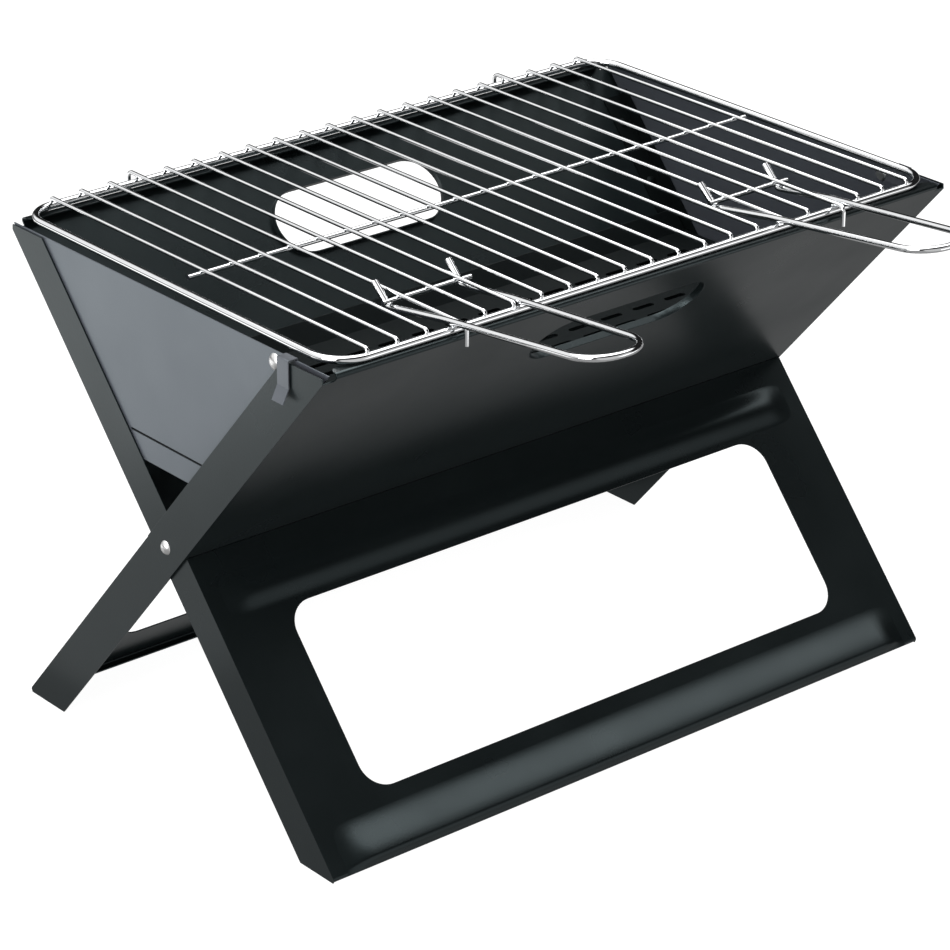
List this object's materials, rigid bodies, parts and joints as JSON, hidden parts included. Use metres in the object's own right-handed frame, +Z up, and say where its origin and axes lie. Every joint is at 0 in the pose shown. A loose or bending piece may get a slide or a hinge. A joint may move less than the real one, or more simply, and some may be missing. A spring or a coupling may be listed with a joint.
{
  "type": "folding camp grill",
  "caption": "Portable charcoal grill whose two sheet-metal frames cross as an X and fold flat, with a V-shaped firebox, a lift-off wire cooking grid and two swinging wire handles.",
  "frame": {"origin": "floor level, under the middle of the whole grill with its handles out", "axes": "+Z up, +X along the grill's width, -Y towards the side the handles point to"},
  "size_m": [0.4604, 0.4067, 0.3171],
  "materials": {
    "wall_paint": "semi-gloss black paint",
    "leg_paint": "semi-gloss black paint",
    "plate_paint": "satin black paint",
    "firebox_paint": "satin heat-proof black paint",
    "clip_steel": "satin black spring steel",
    "rivet_steel": "bright zinc",
    "grid_chrome": "bright plate",
    "handle_chrome": "bright plate"
  },
  "bodies": {
    "frame_a": {"rear_wall": "wall_paint", "front_leg_frame": "leg_paint", "pivot_rivet_left": "rivet_steel", "pivot_rivet_right": "rivet_steel", "pivot_washer_left": "rivet_steel", "pivot_washer_right": "rivet_steel", "corner_angle_left": "firebox_paint", "corner_angle_right": "firebox_paint", "tray_rest": "firebox_paint", "rear_wall_rivets": "firebox_paint"},
    "frame_b": {"front_wall": "wall_paint", "rear_leg_frame": "leg_paint"},
    "firebox_insert": {"end_plate_left": "plate_paint", "end_plate_right": "plate_paint", "charcoal_tray": "firebox_paint", "latch_clip_left": "clip_steel", "latch_clip_right": "clip_steel", "clip_rivet_left": "rivet_steel", "clip_rivet_right": "rivet_steel"},
    "cooking_grid": {"grid_rim": "grid_chrome", "grid_cross_wires": "grid_chrome", "grid_hook_wires": "grid_chrome", "grid_support_wire": "grid_chrome", "handle_crossbar_left": "grid_chrome", "handle_crossbar_right": "grid_chrome"},
    "handle_left": {"handle_left": "handle_chrome"},
    "handle_right": {"handle_right": "handle_chrome"}
  },
  "joints": [
    {"name": "frame_fold", "type": "hinge", "parent": "frame_a", "child": "frame_b", "pos_m": [0, 0.05063, 0.148], "axis": [-1, 0, 0], "range_deg": [0, 82.6]},
    {"name": "insert_lift", "type": "slide", "parent": "frame_a", "child": "firebox_insert", "axis": [0, 0.5736, 0.8192], "range_m": [0, 0.3396]},
    {"name": "grid_lift", "type": "slide", "parent": "firebox_insert", "child": "cooking_grid", "axis": [0, 0, 1], "range_m": [0, 0.15]},
    {"name": "handle_left_swing", "type": "hinge", "parent": "cooking_grid", "child": "handle_left", "pos_m": [-0.117, -0.04437, 0.3013], "axis": [-1, 0, 0], "range_deg": [0, 170]},
    {"name": "handle_right_swing", "type": "hinge", "parent": "cooking_grid", "child": "handle_right", "pos_m": [0.117, -0.04437, 0.3013], "axis": [-1, 0, 0], "range_deg": [0, 170]}
  ],
  "couplings": [
    {"joint": "insert_lift", "follows": "frame_fold", "m_per_rad": 0.235}
  ]
}
